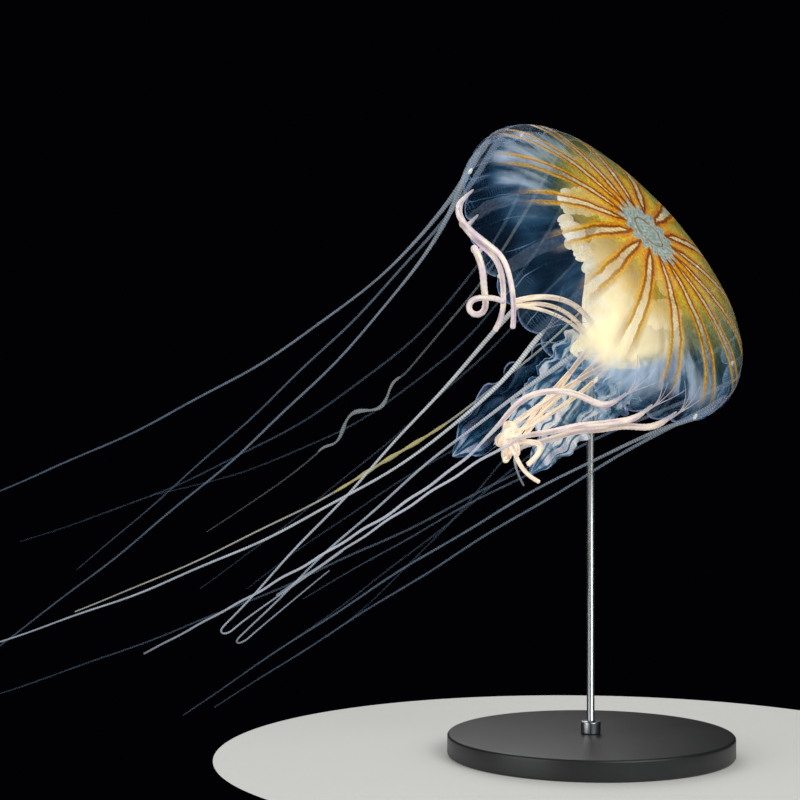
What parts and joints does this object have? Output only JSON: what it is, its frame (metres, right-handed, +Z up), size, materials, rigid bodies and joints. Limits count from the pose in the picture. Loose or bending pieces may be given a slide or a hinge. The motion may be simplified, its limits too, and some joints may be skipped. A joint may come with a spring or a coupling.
{
  "type": "jellyfish",
  "caption": "Swimming jellyfish with a shallow ray-marked bell, lappeted rim, frilled oral arms and long trailing tentacles, held over a round display base by a slim rod.",
  "frame": {"origin": "middle of the underside of the stand's base, on the surface it rests on", "axes": "+Z up, +X the side the bell swims towards, -Y the side shown to the viewer; the bell's axis points up, to +X and a little to -Y"},
  "size_m": [0.5292, 0.2712, 0.3621],
  "materials": {
    "bell_jelly": "wet, translucent, pale rays edged with thin brown lines on an ochre wash that fades to clear blue at the rim",
    "stomach_tissue": "wet, cream",
    "gonad_tissue": "wet, cream white, lobed",
    "arm_tissue": "wet, translucent blue white with whiter frilled edges",
    "tentacle": "wet, translucent blue grey, finely beaded",
    "short_tentacle": "wet, pinkish cream",
    "stand_paint": "satin black paint",
    "stand_steel": "brushed"
  },
  "bodies": {
    "root": {"bell": "bell_jelly", "stomach": "stomach_tissue", "gonad_1": "gonad_tissue", "gonad_2": "gonad_tissue", "gonad_3": "gonad_tissue", "gonad_4": "gonad_tissue", "oral_arm_1": "arm_tissue", "oral_arm_2": "arm_tissue", "oral_arm_3": "arm_tissue", "oral_arm_4": "arm_tissue", "tentacle_01a": "tentacle", "tentacle_01b": "tentacle", "tentacle_02a": "tentacle", "tentacle_02b": "tentacle", "tentacle_03a": "tentacle", "tentacle_03b": "tentacle", "tentacle_04a": "short_tentacle", "tentacle_04b": "short_tentacle", "tentacle_05a": "short_tentacle", "tentacle_05b": "short_tentacle", "tentacle_06a": "short_tentacle", "tentacle_06b": "short_tentacle", "tentacle_07a": "tentacle", "tentacle_07b": "tentacle", "tentacle_08a": "tentacle", "tentacle_08b": "tentacle", "tentacle_09a": "tentacle", "tentacle_09b": "tentacle", "tentacle_10a": "short_tentacle", "tentacle_10b": "short_tentacle", "tentacle_11a": "short_tentacle", "tentacle_11b": "short_tentacle", "tentacle_12a": "short_tentacle", "tentacle_12b": "short_tentacle", "tentacle_13a": "tentacle", "tentacle_13b": "tentacle", "tentacle_14a": "tentacle", "tentacle_14b": "tentacle", "tentacle_15a": "tentacle", "tentacle_15b": "tentacle", "tentacle_16a": "tentacle", "tentacle_16b": "tentacle", "tentacle_17a": "tentacle", "tentacle_17b": "tentacle", "tentacle_18a": "tentacle", "tentacle_18b": "tentacle", "tentacle_19a": "tentacle", "tentacle_19b": "tentacle", "tentacle_20a": "tentacle", "tentacle_20b": "tentacle", "tentacle_21a": "tentacle", "tentacle_21b": "tentacle", "tentacle_22a": "tentacle", "tentacle_22b": "tentacle", "tentacle_23a": "tentacle", "tentacle_23b": "tentacle", "tentacle_24a": "tentacle", "tentacle_24b": "tentacle", "stand_base": "stand_paint", "stand_rod": "stand_steel"}
  },
  "joints": []
}
